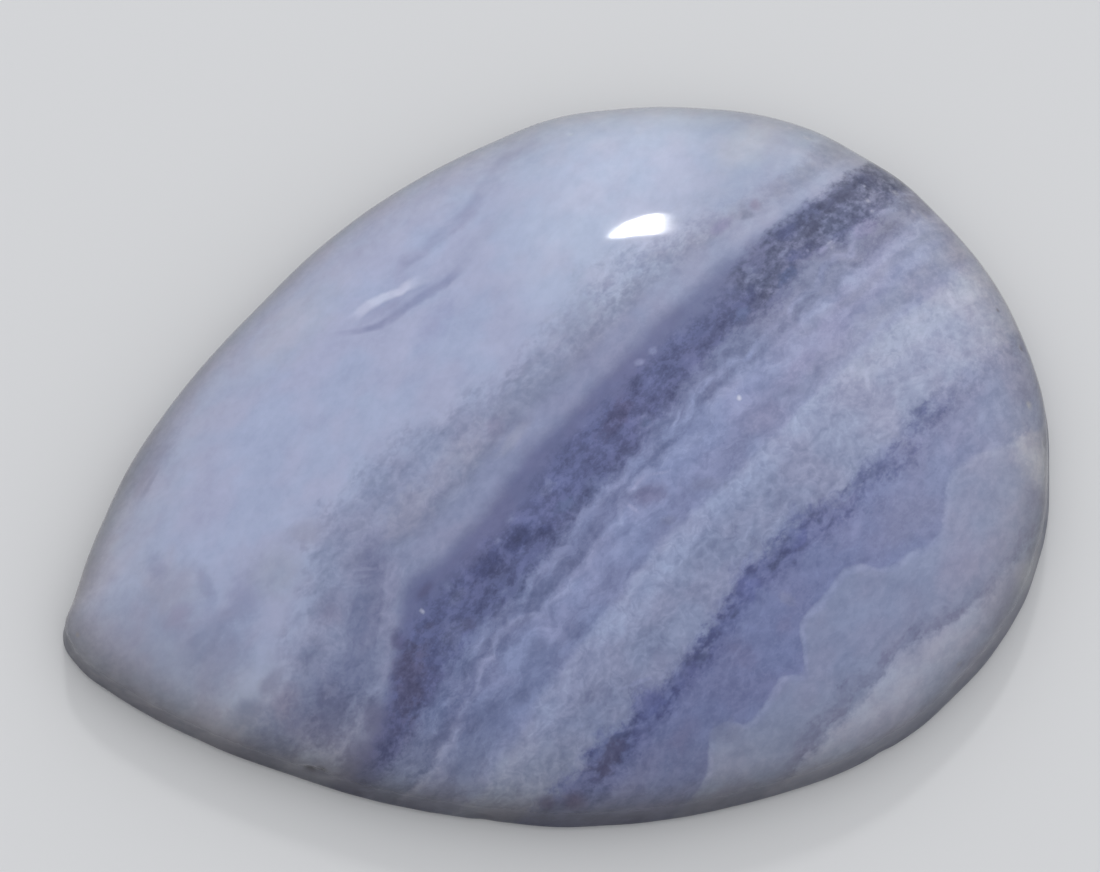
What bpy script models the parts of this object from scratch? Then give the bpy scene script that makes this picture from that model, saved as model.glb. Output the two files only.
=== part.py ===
"""A pear-shaped cabochon of banded blue chalcedony, lying on its flat back.

One natural stone, so one solid. Lengths are in metres, +Z is up, and +X runs along the stone from
its tip to its round end. The origin is under the middle of the stone, on the surface it lies on.
"""

from math import atan2, cos, radians, sin

import bmesh
import bpy

MM = 0.001
STONE = "cabochon"

# Driving dimensions
LENGTH = 40.0 * MM
WIDTH = 29.1 * MM
HEIGHT = 7.0 * MM
GIRDLE_TOP = 1.6 * MM
GIRDLE_DRAFT = 0.15 * MM
BACK_BEVEL = 0.35 * MM

# The crown is the highest point of the dome, over the belly of the pear
CROWN = (3.2 * MM, 0.2 * MM)
CROWN_OVAL = (17.0 * MM, 14.0 * MM)
CROWN_BLEND = 1.3

# The dome's fall from crown to girdle: a higher plan power gives a flatter top and a fuller shoulder
DOME_PLAN_POWER = 2.3
DOME_RISE_POWER = 1.65

# Mesh fineness
POINTS_PER_SPAN = 4
DOME_RINGS = 16

# The girdle's outline, anticlockwise from the tip, drawn in millimetres and then fitted to LENGTH and WIDTH.
# It is ground by hand: the upper side has a corner at its middle, and the round end leans to one side.
OUTLINE = [
    (-20.05, -0.80),
    (-19.80, -1.95),
    (-18.75, -3.42),
    (-15.60, -6.50),
    (-12.60, -8.75),
    (-9.10, -10.95),
    (-5.90, -12.45),
    (-2.40, -13.70),
    (4.70, -14.55),
    (9.80, -14.00),
    (12.90, -12.70),
    (15.50, -11.00),
    (17.75, -8.45),
    (19.15, -5.65),
    (20.05, 0.00),
    (17.85, 7.20),
    (16.05, 9.60),
    (13.75, 11.75),
    (9.90, 13.55),
    (6.50, 14.40),
    (4.30, 14.62),
    (2.20, 14.40),
    (-1.75, 13.58),
    (-5.20, 12.35),
    (-8.90, 10.35),
    (-14.70, 6.22),
    (-17.60, 3.00),
    (-19.35, 0.40),
]

# The material, in linear colour
CHALCEDONY_COLOUR = (0.27, 0.30, 0.44, 1.0)
CHALCEDONY_ROUGHNESS = 0.12


def clear_scene():
    for obj in list(bpy.data.objects):
        bpy.data.objects.remove(obj)


def new_collection(name):
    collection = bpy.data.collections.new(name)
    bpy.context.scene.collection.children.link(collection)
    return collection


def chalcedony_material():
    material = bpy.data.materials.new("blue_chalcedony")
    material.use_nodes = True
    shader = material.node_tree.nodes["Principled BSDF"]
    shader.inputs["Base Color"].default_value = CHALCEDONY_COLOUR
    shader.inputs["Roughness"].default_value = CHALCEDONY_ROUGHNESS
    shader.inputs["Metallic"].default_value = 0.0
    return material


def outline_guide(collection):
    """The girdle's outline as a closed Bezier curve through OUTLINE, a guide that isn't part of the stone."""
    curve = bpy.data.curves.new("girdle_outline", "CURVE")
    curve.dimensions = "2D"
    curve.fill_mode = "NONE"
    curve.resolution_u = POINTS_PER_SPAN
    spline = curve.splines.new("BEZIER")
    spline.bezier_points.add(len(OUTLINE) - 1)
    spline.use_cyclic_u = True
    for point, (x, y) in zip(spline.bezier_points, OUTLINE):
        point.co = (x * MM, y * MM, 0)
        point.handle_left_type = point.handle_right_type = "AUTO"
    guide = bpy.data.objects.new("girdle_outline", curve)
    collection.objects.link(guide)
    guide.hide_render = True
    guide.display_type = "WIRE"
    return guide


def fitted(values, span):
    """The values moved and scaled to spread this span evenly about zero."""
    low, high = min(values), max(values)
    return [((value - low) / (high - low) - 0.5) * span for value in values]


def girdle_points(guide):
    """The points (x, y) of the girdle, anticlockwise round the stone."""
    graph = bpy.context.evaluated_depsgraph_get()
    line = guide.evaluated_get(graph).to_mesh()
    xs = fitted([vertex.co.x for vertex in line.vertices], LENGTH)
    ys = fitted([vertex.co.y for vertex in line.vertices], WIDTH)
    return list(zip(xs, ys))


def oval_reach(angle):
    """How far the crown's oval reaches from the crown in this direction."""
    across, along = CROWN_OVAL[0] * sin(angle), CROWN_OVAL[1] * cos(angle)
    return CROWN_OVAL[0] * CROWN_OVAL[1] / (across * across + along * along) ** 0.5


def ring_point(girdle_point, reach):
    """A point (x, y) of the dome's ring at this share of the way out, from the oval crown to the pear girdle."""
    dx, dy = girdle_point[0] - CROWN[0], girdle_point[1] - CROWN[1]
    length = (dx * dx + dy * dy) ** 0.5
    oval = (1 - reach) ** CROWN_BLEND
    share = reach * (1 - oval + oval * oval_reach(atan2(dy, dx)) / length)
    return CROWN[0] + dx * share, CROWN[1] + dy * share


def inset(girdle_point, distance):
    """The girdle's point moved this far towards the crown."""
    dx, dy = CROWN[0] - girdle_point[0], CROWN[1] - girdle_point[1]
    length = (dx * dx + dy * dy) ** 0.5
    return girdle_point[0] + dx / length * distance, girdle_point[1] + dy / length * distance


def dome_levels():
    """(share of the way out, height) of each ring of the dome, from the girdle up to just below the crown."""
    levels = []
    for step in range(DOME_RINGS):
        angle = radians(90) * step / DOME_RINGS
        reach = cos(angle) ** (2 / DOME_PLAN_POWER)
        rise = (1 - reach**DOME_PLAN_POWER) ** (1 / DOME_RISE_POWER)
        levels.append((reach, GIRDLE_TOP + (HEIGHT - GIRDLE_TOP) * rise))
    return levels


def rings_of(girdle):
    """The stone's rings of points from the flat back up to the crown, each with as many points as the girdle."""
    rings = [[(*inset(point, BACK_BEVEL), 0.0) for point in girdle]]
    rings.append([(*point, BACK_BEVEL) for point in girdle])
    top = [inset(point, GIRDLE_DRAFT) for point in girdle]
    for reach, height in dome_levels():
        rings.append([(*ring_point(point, reach), height) for point in top])
    return rings


def loft(rings, crown):
    """A closed mesh through the rings: an n-gon on the flat back, quads between rings and a fan up to the crown."""
    shape = bmesh.new()
    loops = [[shape.verts.new(point) for point in ring] for ring in rings]
    shape.faces.new(reversed(loops[0]))
    count = len(loops[0])
    for low, high in zip(loops, loops[1:]):
        for i in range(count):
            j = (i + 1) % count
            shape.faces.new((low[i], low[j], high[j], high[i]))
    apex = shape.verts.new(crown)
    for i in range(count):
        shape.faces.new((loops[-1][i], loops[-1][(i + 1) % count], apex))
    mesh = bpy.data.meshes.new(STONE)
    shape.to_mesh(mesh)
    shape.free()
    return mesh


def cabochon(collection, guide):
    girdle = girdle_points(guide)
    mesh = loft(rings_of(girdle), (*CROWN, HEIGHT))
    mesh.shade_smooth()
    mesh.set_sharp_from_angle(angle=radians(35))
    mesh.materials.append(chalcedony_material())
    stone = bpy.data.objects.new(STONE, mesh)
    collection.objects.link(stone)
    return stone


def main():
    clear_scene()
    guides = new_collection("guides")
    stone = new_collection("blue_chalcedony_cabochon")
    cabochon(stone, outline_guide(guides))


main()
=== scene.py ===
"""The looks of a pear-shaped cabochon of banded blue chalcedony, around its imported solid.

The stone is one natural piece, so one visible piece stands for its one CAD node. Its surface is a fine loft
of the same form, with the slight waviness, pits and chips of hand work. Its banding runs through the whole
stone.
"""

from math import cos, radians, sin

import bpy
import numpy as np
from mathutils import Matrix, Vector, noise


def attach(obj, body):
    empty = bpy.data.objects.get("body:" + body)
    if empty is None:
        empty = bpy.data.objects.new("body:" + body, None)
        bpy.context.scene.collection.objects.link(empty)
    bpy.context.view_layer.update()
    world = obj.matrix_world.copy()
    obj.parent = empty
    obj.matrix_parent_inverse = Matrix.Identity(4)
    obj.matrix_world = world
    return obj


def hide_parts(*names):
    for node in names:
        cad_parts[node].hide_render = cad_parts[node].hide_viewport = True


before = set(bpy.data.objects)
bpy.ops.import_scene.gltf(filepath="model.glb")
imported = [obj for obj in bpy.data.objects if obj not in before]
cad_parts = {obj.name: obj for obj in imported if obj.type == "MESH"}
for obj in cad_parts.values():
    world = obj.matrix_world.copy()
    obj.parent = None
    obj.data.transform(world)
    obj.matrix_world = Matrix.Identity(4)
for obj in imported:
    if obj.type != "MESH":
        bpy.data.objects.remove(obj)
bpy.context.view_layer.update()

MM = 0.001

# The stone's form, as its solid has it, in mm
LENGTH = 40.0
WIDTH = 29.1
HEIGHT = 7.0
GIRDLE_TOP = 1.6
GIRDLE_DRAFT = 0.15
BACK_BEVEL = 0.35
CROWN = np.array([3.2, 0.2])
CROWN_OVAL = (17.0, 14.0)
CROWN_BLEND = 1.3
DOME_PLAN_POWER = 2.3
DOME_RISE_POWER = 1.65
OUTLINE = [
    (-20.05, -0.80), (-19.80, -1.95), (-18.75, -3.42), (-15.60, -6.50), (-12.60, -8.75), (-9.10, -10.95),
    (-5.90, -12.45), (-2.40, -13.70), (4.70, -14.55), (9.80, -14.00), (12.90, -12.70), (15.50, -11.00),
    (17.75, -8.45), (19.15, -5.65), (20.05, 0.00), (17.85, 7.20), (16.05, 9.60), (13.75, 11.75),
    (9.90, 13.55), (6.50, 14.40), (4.30, 14.62), (2.20, 14.40), (-1.75, 13.58), (-5.20, 12.35),
    (-8.90, 10.35), (-14.70, 6.22), (-17.60, 3.00), (-19.35, 0.40),
]
POINTS_PER_SPAN = 22
DOME_RINGS = 110
WALL_RINGS = 8
BEVEL_RINGS = 3
BACK_RINGS = 24

# How softly the edge between wall and dome is rounded, and how far to each side, in mm
EDGE_SOFTNESS = 0.30
EDGE_REACH = 1.3


def outline_points():
    """The girdle's outline (x, y) in mm, anticlockwise, finely spaced."""
    curve = bpy.data.curves.new("outline", "CURVE")
    curve.dimensions = "2D"
    curve.fill_mode = "NONE"
    curve.resolution_u = POINTS_PER_SPAN
    spline = curve.splines.new("BEZIER")
    spline.bezier_points.add(len(OUTLINE) - 1)
    spline.use_cyclic_u = True
    for point, (x, y) in zip(spline.bezier_points, OUTLINE):
        point.co = (x, y, 0)
        point.handle_left_type = point.handle_right_type = "AUTO"
    guide = bpy.data.objects.new("outline", curve)
    bpy.context.scene.collection.objects.link(guide)
    graph = bpy.context.evaluated_depsgraph_get()
    line = guide.evaluated_get(graph).to_mesh()
    points = np.array([vertex.co[:2] for vertex in line.vertices])
    bpy.data.objects.remove(guide)
    low, high = points.min(0), points.max(0)
    return ((points - low) / (high - low) - 0.5) * (LENGTH, WIDTH)


def inset(points, distance):
    """The points moved this far towards the crown's axis."""
    away = points - CROWN
    return points - away / np.linalg.norm(away, axis=1)[:, None] * distance


def dome_ring(points, reach):
    """The dome's ring at this share of the way out, from the oval crown to the pear girdle."""
    away = points - CROWN
    length = np.linalg.norm(away, axis=1)
    angle = np.arctan2(away[:, 1], away[:, 0])
    across, along = CROWN_OVAL[0] * np.sin(angle), CROWN_OVAL[1] * np.cos(angle)
    oval = CROWN_OVAL[0] * CROWN_OVAL[1] / np.hypot(across, along)
    blend = (1 - reach) ** CROWN_BLEND
    return CROWN + away * (reach * (1 - blend + blend * oval / length))[:, None]


def stone_rings():
    """Rings of points (x, y, z) in mm, from the middle of the back, round the girdle and up to the crown."""
    girdle = outline_points()
    back = inset(girdle, BACK_BEVEL)
    top = inset(girdle, GIRDLE_DRAFT)
    rings = []
    for step in range(1, BACK_RINGS + 1):
        share = step / BACK_RINGS
        rings.append((CROWN + (back - CROWN) * share, 0.0))
    for step in range(1, BEVEL_RINGS + 1):
        angle = radians(90) * step / BEVEL_RINGS
        rings.append((inset(girdle, BACK_BEVEL * (1 - sin(angle))), BACK_BEVEL * (1 - cos(angle))))
    for step in range(1, WALL_RINGS):
        share = step / WALL_RINGS
        drawn_in = share * (2 - share)
        level = BACK_BEVEL + (GIRDLE_TOP - BACK_BEVEL) * share
        rings.append((girdle + (top - girdle) * drawn_in, level))
    edge = len(rings)
    for step in range(DOME_RINGS):
        angle = radians(90) * step / DOME_RINGS
        reach = cos(angle) ** (2 / DOME_PLAN_POWER)
        rise = (1 - reach**DOME_PLAN_POWER) ** (1 / DOME_RISE_POWER)
        rings.append((dome_ring(top, reach), GIRDLE_TOP + (HEIGHT - GIRDLE_TOP) * rise))
    rings = [np.column_stack([ring, np.full(len(ring), level)]) for ring, level in rings]
    return soften_edge(np.array(rings), edge)


def soften_edge(rings, edge):
    """The rings with the edge between the wall and the dome softly rounded, as polishing leaves it."""
    steps = np.linalg.norm(np.diff(rings, axis=0), axis=2).mean(axis=1)
    way = np.concatenate([[0.0], np.cumsum(steps)])
    spacing = np.gradient(way)
    shares = np.exp(-0.5 * ((way[:, None] - way[None, :]) / EDGE_SOFTNESS) ** 2) * spacing[None, :]
    averages = np.tensordot(shares / shares.sum(axis=1, keepdims=True), rings, axes=1)
    near = np.clip(1 - ((way - way[edge]) / EDGE_REACH) ** 2, 0, 1)[:, None, None] ** 2
    return rings * (1 - near) + averages * near


# Hand work, in mm: a faint waviness (size, depth), stronger on the ground wall and its edge, and pits
# (x, y, z, radius, depth). The back is flat
WAVES = ((5.5, 0.012), (1.8, 0.003))
WALL_WAVES = ((3.0, 0.035), (0.9, 0.012))
WALL_WAVES_TOP = 2.3
WALL_WAVES_FADE = 0.8
FLAT_BACK = 0.02
PITS = [
    (4.65, 12.87, 3.8, 0.3, 0.05),
    (7.32, 12.09, 4.06, 0.26, 0.04),
    (13.79, 10.35, 3.1, 0.34, 0.06),
    (16.46, 7.1, 3.26, 0.3, 0.06),
    (17.32, 5.93, 3.02, 0.34, 0.07),
    (18.62, 2.12, 3.11, 0.34, 0.06),
    (18.93, 1.35, 2.92, 0.26, 0.05),
    (19.44, -0.29, 2.5, 0.34, 0.07),
    (18.97, -2.76, 2.91, 0.42, 0.06),
    (19.17, -4.28, 2.13, 0.3, 0.06),
    (13.27, -12.01, 2.35, 0.3, 0.06),
    (-12.1, -8.91, 1.6, 0.42, 0.12),
    (-11.65, -9.07, 1.7, 0.36, 0.1),
    (15.14, 6.75, 4.24, 0.24, 0.04),
    (-19.9, -1.3, 1.3, 0.6, 0.12),
    (-6.2, -12.6, 0.6, 0.7, 0.14),
    (9.6, -14.2, 0.5, 0.55, 0.1),
    (18.6, -7.2, 0.9, 0.6, 0.12),
    (-9.4, 10.2, 1.1, 0.55, 0.1),
    (2, 14.5, 0.7, 0.6, 0.1),
]


def relief(points, normals):
    """The points, in mm, moved along their normals by the waviness and the pits of hand work."""
    offset = np.zeros(len(points))
    height = points[:, 2]
    off_back = height > FLAT_BACK
    wall = np.clip((WALL_WAVES_TOP - height) / WALL_WAVES_FADE, 0, 1) * off_back
    for waves, share in ((WAVES, off_back), (WALL_WAVES, wall)):
        for size, depth in waves:
            offset += share * depth * np.array([noise.noise(Vector(point) / size) for point in points])
    for x, y, z, radius, depth in PITS:
        away = np.linalg.norm(points - (x, y, z), axis=1) / radius
        offset -= depth * np.clip(1 - away * away, 0, 1) ** 2
    return points + normals * offset[:, None]


def stone_mesh():
    """The stone's surface: its rings joined by quads, and closed by a fan under and over."""
    rings = stone_rings()
    count = len(rings[0])
    points = np.concatenate([*rings, [[*CROWN, 0.0]], [[*CROWN, HEIGHT]]])
    under, apex = len(points) - 2, len(points) - 1
    here = np.arange(count)
    following = np.roll(here, -1)
    faces = []
    for step in range(len(rings) - 1):
        low, high = step * count, (step + 1) * count
        quads = [low + here, low + following, high + following, high + here]
        faces += np.column_stack(quads).tolist()
    last = (len(rings) - 1) * count
    faces += [(under, int(following[i]), i) for i in range(count)]
    faces += [(last + i, last + int(following[i]), apex) for i in range(count)]
    mesh = bpy.data.meshes.new("cabochon_polished")
    mesh.from_pydata((points * MM).tolist(), [], faces)
    mesh.update()
    normals = np.array([normal.vector for normal in mesh.vertex_normals])
    mesh.vertices.foreach_set("co", (relief(points, normals) * MM).ravel())
    mesh.shade_smooth()
    mesh.update()
    return mesh


# The banding. u runs along the bands and v across them, in mm from -SPAN to SPAN, slantwise over the stone
ALONG = (0.835, 0.550, 0.0)
ACROSS = (0.550, -0.835, 0.0)
SPAN = 20.0

# The layers, each over the ones before it. left and right are the polished stone's colours in sRGB at its
# lower left and upper right. course is v at some places u, and along names the layer with the same course.
# A zone has no width: it starts at its course and lasts until the next one. A line lies on its course, and
# width is half its own. soft is how wide an edge is, ragged how far it strays, and scallop how far it
# bulges, all in mm. strength is how much of a line shows, patchy and beady how much of it gaps and beads
# take, and fade the places u where it ends. texture is how much there is of (rings, lace, froth)
BASE = dict(left=(166, 173, 200), right=(162, 170, 192), texture=(0.02, 0.03, 0.05))
LAYERS = [
    dict(name="faint_upper_vein", left=(150, 156, 184), right=(152, 158, 180), width=0.12, soft=0.35,
         ragged=0.1, strength=0.8, patchy=0.4, fade=(1.6, 10.2), course=[(-18, -9.5), (1.3, -9.4), (2, -9.3),
         (3, -9.05), (4, -8.9), (5, -8.8), (6, -8.9), (7, -9.1), (8, -9.25), (8.6, -9.3), (9.2, -9.1),
         (9.8, -8.9), (10.3, -8.7), (12, -8.2), (19, -7)]),
    dict(name="lens_inside", left=(152, 158, 187), width=0.14, soft=0.35, ragged=0.06, strength=0.8,
         fade=(-1, 2.2), course=[(-18, -9.2), (-1.3, -9.1), (-0.5, -8.8), (0, -8.6), (1, -8.2), (2, -7.8),
         (3, -7.5), (19, -7)]),
    dict(name="lens_ridge", left=(194, 198, 219), width=0.1, soft=0.24, ragged=0.05, strength=0.95,
         patchy=0.35, fade=(-0.6, 1.9), course=[(-18, -9.4), (-1.3, -9.3), (-0.7, -9.2), (0, -9.08),
         (0.5, -8.87), (1, -8.6), (1.6, -8.32), (2.1, -8.08), (3, -7.8), (19, -7)]),
    dict(name="lens_shadow", left=(133, 139, 171), width=0.05, soft=0.26, ragged=0.05, strength=0.85,
         patchy=0.35, fade=(-1.5, 3.2), course=[(-18, -9.8), (-1.9, -9.4), (-1.6, -9.15), (-1.3, -8.8),
         (-0.8, -8.35), (-0.3, -8.1), (0.3, -7.92), (1, -7.76), (1.5, -7.6), (2, -7.43), (2.5, -7.32),
         (3, -7.3), (3.5, -7.35), (5, -7.5), (19, -7.6)]),
    dict(name="faint_lower_vein", left=(154, 162, 189), right=(160, 168, 188), width=0.1, soft=0.45,
         ragged=0.1, strength=0.7, patchy=0.5, fade=(3, 10.5), course=[(-18, -7.5), (3, -7.4), (5, -7.55),
         (7, -7.6), (9, -7.8), (11, -7.7), (19, -7.5)]),
    dict(name="tip_vein", left=(136, 142, 170), width=0.12, soft=0.5, ragged=0.15, strength=0.7, patchy=0.3,
         fade=(-15.3, -12.4), course=[(-18, -5.6), (-15.5, -5.35), (-14, -5.15), (-13, -5), (-12.3, -4.7),
         (19, -4)]),
    dict(name="mottled_edge", left=(143, 150, 178), right=(160, 166, 190), soft=1.4, ragged=0.85,
         texture=(0.42, 0.12, 0.14), course=[(-18, -2.5), (-15.5, -2.2), (-14, -1.8), (-13, -1.9),
         (-12, -2.3), (-11, -2.6), (-10, -3), (-9.2, -3.8), (-8.5, -4.2), (-7, -4), (-6, -4), (-5, -3.9),
         (-4, -3.8), (-3, -3.7), (-2, -3.4), (-1, -3.1), (0, -2.6), (1, -2.3), (2, -2.2), (3, -2.4),
         (4, -2.3), (5, -2.3), (6, -3), (7, -3.3), (8, -3.1), (9, -2.6), (10, -2.2), (11, -1.9), (12, -1.3),
         (13, -0.8), (14, -0.7), (15, -0.55), (17, -0.5), (19, -0.5)]),
    dict(name="beige_veil", left=(153, 157, 180), right=(156, 160, 182), width=0.35, soft=0.8, ragged=0.55,
         strength=0.7, patchy=0.6, fade=(-4, 7), course=[(-18, -2), (-4, -1.8), (-2, -1.9), (0, -1.8),
         (2, -1.7), (4, -1.8), (7, -1.9), (19, -1)]),
    dict(name="edge_speckles", left=(112, 120, 147), right=(136, 140, 160), width=0.5, soft=0.7, ragged=0.7,
         strength=0.4, patchy=0.6, beady=0.85, fade=(-13, 12.2), along="mottled_edge"),
    dict(name="shadow_lower_left", left=(107, 113, 146), width=0.35, soft=1.1, ragged=0.6, strength=0.85,
         patchy=0.2, beady=0.25, fade=(-30, -7), course=[(-18, -0.6), (-14, -0.4), (-13, -0.1), (-12, 0.1),
         (-11, 0), (-10, -0.5), (-9, -1.1), (-8, -1.8), (-7, -1.8), (-6, -1.5), (-5, -1.25), (19, 0)]),
    dict(name="shadow_over_pale_line", left=(124, 130, 157), right=(144, 148, 167), width=0.2, soft=0.8,
         ragged=0.6, strength=0.85, patchy=0.4, fade=(-7.2, 30), course=[(-18, -1), (-8, -1.8), (-7, -1.8),
         (-6, -1.5), (-5, -1.25), (-4, -1.15), (-2, -1.25), (0, -1.2), (2, -1.05), (4, -1.1), (6, -1.15),
         (8, -1), (10, -0.8), (12, -0.3), (14, 0.1), (16, 0.25), (19, 0.3)]),
    dict(name="pale_lilac", left=(139, 145, 175), right=(161, 167, 190), width=0.12, soft=0.7, ragged=0.16,
         strength=0.9, patchy=0.15, fade=(-7, 30), texture=(0.05, 0.1, 0.08), course=[(-18, 2.2), (-13, 1.6),
         (-12, 1.3), (-11, 0.95), (-10.5, 0.75), (-10, 0.45), (-9.5, 0.15), (-9, -0.2), (-8.5, -0.55),
         (-8, -0.92), (-7.6, -1.08), (-7, -1), (-6.5, -0.86), (-6, -0.74), (-5, -0.58), (-4, -0.48),
         (-3, -0.52), (-2, -0.68), (-1, -0.75), (0, -0.64), (1, -0.52), (2, -0.46), (3, -0.46), (4, -0.5),
         (5, -0.58), (6, -0.55), (7, -0.45), (8, -0.35), (9, -0.2), (10, -0.02), (11, 0.1), (12, 0.28),
         (13, 0.45), (14, 0.7), (15, 0.9), (17, 1), (19, 1)]),
    dict(name="violet_grey", left=(104, 109, 146), right=(122, 127, 157), soft=0.95, ragged=0.16,
         texture=(0.05, 0.05, 0.08), course=[(-18, 2.6), (-13, 2), (-12, 1.75), (-11, 1.45), (-10.5, 1.2),
         (-10, 0.9), (-9.5, 0.6), (-9, 0.25), (-8.5, -0.05), (-8, -0.3), (-7.5, -0.34), (-7, -0.18),
         (-6.5, -0.06), (-6, 0.02), (-5, 0.08), (-4, 0.1), (-3, 0), (-2, -0.1), (-1, -0.2), (0, -0.05),
         (1, 0), (2, 0.08), (3, 0.05), (4, 0.1), (5, 0.1), (6, 0.12), (7, 0.22), (8, 0.35), (9, 0.42),
         (10, 0.5), (11, 0.65), (12, 0.72), (13, 0.82), (14, 1), (15, 1.3), (16, 1.45), (17, 1.5),
         (19, 1.6)]),
    dict(name="pale_bar", left=(138, 144, 173), width=0.2, soft=0.26, ragged=0.08, strength=0.95,
         fade=(-11, -6.6), course=[(-18, 3.4), (-13, 2.2), (-12, 1.65), (-11, 1.05), (-10.5, 0.75),
         (-10, 0.42), (-9.5, 0.1), (-9, -0.25), (-8.5, -0.62), (-8, -0.92), (-7.6, -1.02), (-7.2, -0.92),
         (-6.8, -0.76), (-6.4, -0.64), (-6, -0.56), (19, 0)]),
    dict(name="navy", left=(92, 98, 138), right=(92, 97, 129), soft=0.9, ragged=0.55,
         texture=(0.35, 0.1, 0.62), course=[(-18, 3), (-12, 2.2), (-11, 1.6), (-10, 1.1), (-9, 0.75),
         (-8, 0.85), (-7, 0.9), (-6, 0.85), (-4, 0.95), (-2, 1.1), (0, 0.8), (2, 1), (4, 0.9), (6, 1.1),
         (8, 1.4), (10, 1.3), (12, 1.15), (14, 1.35), (16, 1.5), (19, 1.7)]),
    dict(name="far_dots", left=(76, 81, 107), width=0.6, soft=0.5, ragged=0.4, strength=0.85, beady=0.85,
         fade=(9.4, 30), course=[(-18, 2), (9, 1.9), (11, 1.85), (12, 1.75), (13, 1.8), (14, 2), (16, 2.1),
         (19, 2.3)]),
    dict(name="far_pearls", left=(148, 153, 176), width=0.45, soft=0.6, ragged=0.4, strength=0.34,
         patchy=0.4, beady=-0.9, fade=(9.4, 30), course=[(-18, 2.3), (9, 2.1), (11, 2.15), (12, 2.2),
         (13, 2.4), (14, 2.6), (16, 2.8), (19, 3)]),
    dict(name="lace_blue", left=(114, 123, 159), right=(130, 134, 159), soft=0.7, ragged=0.5,
         texture=(0.1, 0.74, 0.31), course=[(-18, 4), (-12, 3.2), (-11, 3.05), (-10, 3), (-9, 2.85),
         (-8, 2.8), (-7, 2.85), (-6, 2.95), (-5, 3.05), (-4, 3.1), (-3, 2.95), (-2, 2.75), (-1, 2.75),
         (0, 2.8), (2, 2.9), (4, 2.7), (6, 2.65), (8, 2.75), (9, 2.8), (10, 3.1), (11, 3.05), (12, 2.9),
         (13, 3), (14, 3.2), (15, 3.4), (16, 3.4), (19, 3.4)]),
    dict(name="first_lace_line", left=(137, 146, 181), right=(143, 148, 177), width=0.04, soft=0.24,
         ragged=0.2, strength=0.85, patchy=0.6, scallop=0.5, course=[(-18, 4.5), (-9, 3.6), (-8, 3.3),
         (-7, 3.2), (-6, 3.3), (-5, 3.25), (-4.2, 3.1), (-3.5, 3.5), (-3, 3.3), (-2, 3.2), (-1, 3.1),
         (0, 3.3), (1, 3.4), (2, 3.5), (3, 3.6), (4, 3.4), (5, 3.2), (6, 3.3), (7, 3.6), (8, 3.8), (10, 3.9),
         (12, 3.6), (19, 3.4)]),
    dict(name="between_lace", left=(107, 116, 152), right=(128, 132, 158), width=0.05, soft=0.28, ragged=0.2,
         strength=0.75, patchy=0.6, scallop=0.5, course=[(-18, 4.8), (-9, 3.95), (-7, 3.95), (-5, 3.9),
         (-4, 3.8), (-3, 3.9), (-2, 3.8), (0, 3.62), (1, 3.66), (2, 3.75), (3, 3.85), (4, 3.75), (5, 3.6),
         (6, 3.6), (7, 3.85), (9, 4.1), (19, 4)]),
    dict(name="middle_blue", left=(132, 141, 177), right=(150, 155, 183), soft=0.6, ragged=0.3,
         texture=(0.1, 0.66, 0.22), course=[(-18, 5.4), (-10, 4.6), (-8, 4.2), (-6, 4.25), (-4, 4.2),
         (-2, 4.2), (0, 3.85), (2, 3.95), (4, 3.95), (6, 3.85), (8, 4.1), (10, 4.25), (12, 4.35), (14, 4.4),
         (19, 4.5)]),
    dict(name="second_lace_line", left=(143, 151, 185), right=(157, 162, 189), width=0.04, soft=0.24,
         ragged=0.16, strength=0.8, patchy=0.6, scallop=0.6, course=[(-18, 4.6), (-10, 4.5), (-8, 3.9),
         (-7.2, 3.6), (-6.5, 3.8), (-6, 4.1), (-5, 4.25), (-4, 4.4), (-3, 4.3), (-2, 4.35), (-1, 4.4),
         (-0.5, 4.1), (0, 3.95), (1, 3.9), (2, 4.1), (3, 4.2), (4, 4.1), (5, 4), (7, 4.05), (9, 4.4),
         (11, 4.7), (13, 4.8), (19, 4.9)]),
    dict(name="right_vein", left=(136, 144, 176), right=(140, 145, 170), width=0.05, soft=0.25, ragged=0.12,
         strength=0.8, patchy=0.3, fade=(9.5, 17.5), course=[(-18, 5), (9, 4.6), (10, 4.75), (11, 4.9),
         (12, 5.05), (13, 5.1), (14, 5.15), (15, 5.2), (16, 5.25), (17, 5.4), (19, 5.8)]),
    dict(name="dark_streak", left=(120, 129, 165), right=(149, 153, 176), width=0.18, soft=0.55, ragged=0.28,
         strength=0.9, patchy=0.35, course=[(-18, 5.4), (-10, 5.6), (-8, 5.65), (-6, 5.8), (-4, 5.85),
         (-2, 5.65), (0, 5.5), (2, 5.8), (4, 6), (6, 5.9), (8, 6.1), (10, 6.15), (12, 6.3), (14, 6.4),
         (19, 6.5)]),
    dict(name="fuzzy_light", left=(145, 154, 185), right=(162, 166, 189), soft=0.5, ragged=0.26,
         texture=(0.75, 0.3, 0.18), course=[(-18, 6.6), (-9, 6.45), (-8, 6.3), (-6, 6.25), (-4, 6.25),
         (-2, 6.1), (0, 6.05), (2, 6.3), (4, 6.4), (6, 6.5), (8, 6.65), (10, 6.8), (12, 6.95), (14, 7.1),
         (19, 7.3)]),
    dict(name="right_white", left=(150, 157, 185), right=(168, 173, 194), width=0.25, soft=0.6, ragged=0.2,
         strength=0.9, patchy=0.2, fade=(9.5, 17), course=[(-18, 7), (8, 7.2), (10, 7.3), (12, 7.5),
         (14, 7.7), (16, 8), (19, 8.4)]),
    dict(name="fuzzy_mottled", left=(133, 141, 171), right=(157, 162, 186), soft=0.9, ragged=0.45,
         texture=(0.75, 0.3, 0.18), course=[(-18, 7.3), (-8, 7.3), (-4, 7.2), (0, 7.2), (4, 7.4), (8, 7.6),
         (12, 8.2), (19, 8.4)]),
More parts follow.
